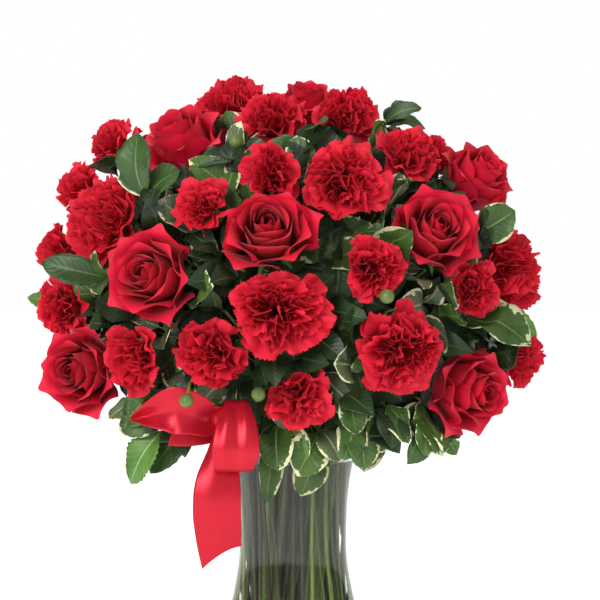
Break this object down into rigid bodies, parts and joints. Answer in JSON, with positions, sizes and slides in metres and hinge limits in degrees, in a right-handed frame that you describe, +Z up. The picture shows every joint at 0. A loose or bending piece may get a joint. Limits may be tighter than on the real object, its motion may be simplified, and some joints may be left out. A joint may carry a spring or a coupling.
{
  "type": "carnations in a vase",
  "caption": "Domed bouquet of red carnations and roses with leafy greenery, standing in water in a clear waisted glass vase with a satin bow at its rim.",
  "frame": {"origin": "centre of the vase's flat base, on the surface it stands on", "axes": "+Z up along the vase's axis, -Y towards the front of the bouquet with its bow, +X to its right"},
  "size_m": [0.3639, 0.2916, 0.4631],
  "materials": {
    "glass": "clear gloss",
    "water": "clear",
    "greenery": "waxy leaf",
    "carnation_petals": "soft matt petal",
    "rose_petals": "velvety petal",
    "satin_ribbon": "satin",
    "coated_wire": "matt"
  },
  "bodies": {
    "root": {"vase": "glass", "water": "water", "stems_and_leaves_front": "greenery", "stems_and_leaves_right": "greenery", "stems_and_leaves_back_right": "greenery", "stems_and_leaves_back": "greenery", "stems_and_leaves_back_left": "greenery", "stems_and_leaves_left": "greenery", "stems_and_leaves_front_left": "greenery", "carnation_top_left": "carnation_petals", "carnation_upper_left": "carnation_petals", "carnation_top": "carnation_petals", "carnation_top_right": "carnation_petals", "carnation_upper_right": "carnation_petals", "carnation_inner_top": "carnation_petals", "carnation_inner_large": "carnation_petals", "carnation_inner_left": "carnation_petals", "carnation_far_upper_left": "carnation_petals", "carnation_left_large": "carnation_petals", "carnation_far_left": "carnation_petals", "carnation_left": "carnation_petals", "carnation_lower_left": "carnation_petals", "carnation_lower_inner_left": "carnation_petals", "carnation_middle_large": "carnation_petals", "carnation_inner_right": "carnation_petals", "carnation_lowest": "carnation_petals", "carnation_lower_right_large": "carnation_petals", "carnation_right": "carnation_petals", "carnation_far_right_large": "carnation_petals", "carnation_far_lower_right": "carnation_petals", "rose_upper_left": "rose_petals", "rose_left": "rose_petals", "rose_middle": "rose_petals", "rose_right": "rose_petals", "rose_upper_right": "rose_petals", "rose_lower_left": "rose_petals", "rose_lower_right": "rose_petals", "rose_top": "rose_petals", "carnation_back_1": "carnation_petals", "rose_back_2": "rose_petals", "carnation_back_3": "carnation_petals", "rose_back_4": "rose_petals", "rose_back_5": "rose_petals", "carnation_back_6": "carnation_petals", "carnation_back_7": "carnation_petals", "rose_back_8": "rose_petals", "carnation_back_9": "carnation_petals", "carnation_back_10": "carnation_petals", "carnation_back_11": "carnation_petals", "rose_back_12": "rose_petals", "carnation_back_13": "carnation_petals", "carnation_back_14": "carnation_petals", "rose_back_15": "rose_petals", "satin_bow": "satin_ribbon", "bow_pick": "coated_wire"}
  },
  "joints": []
}
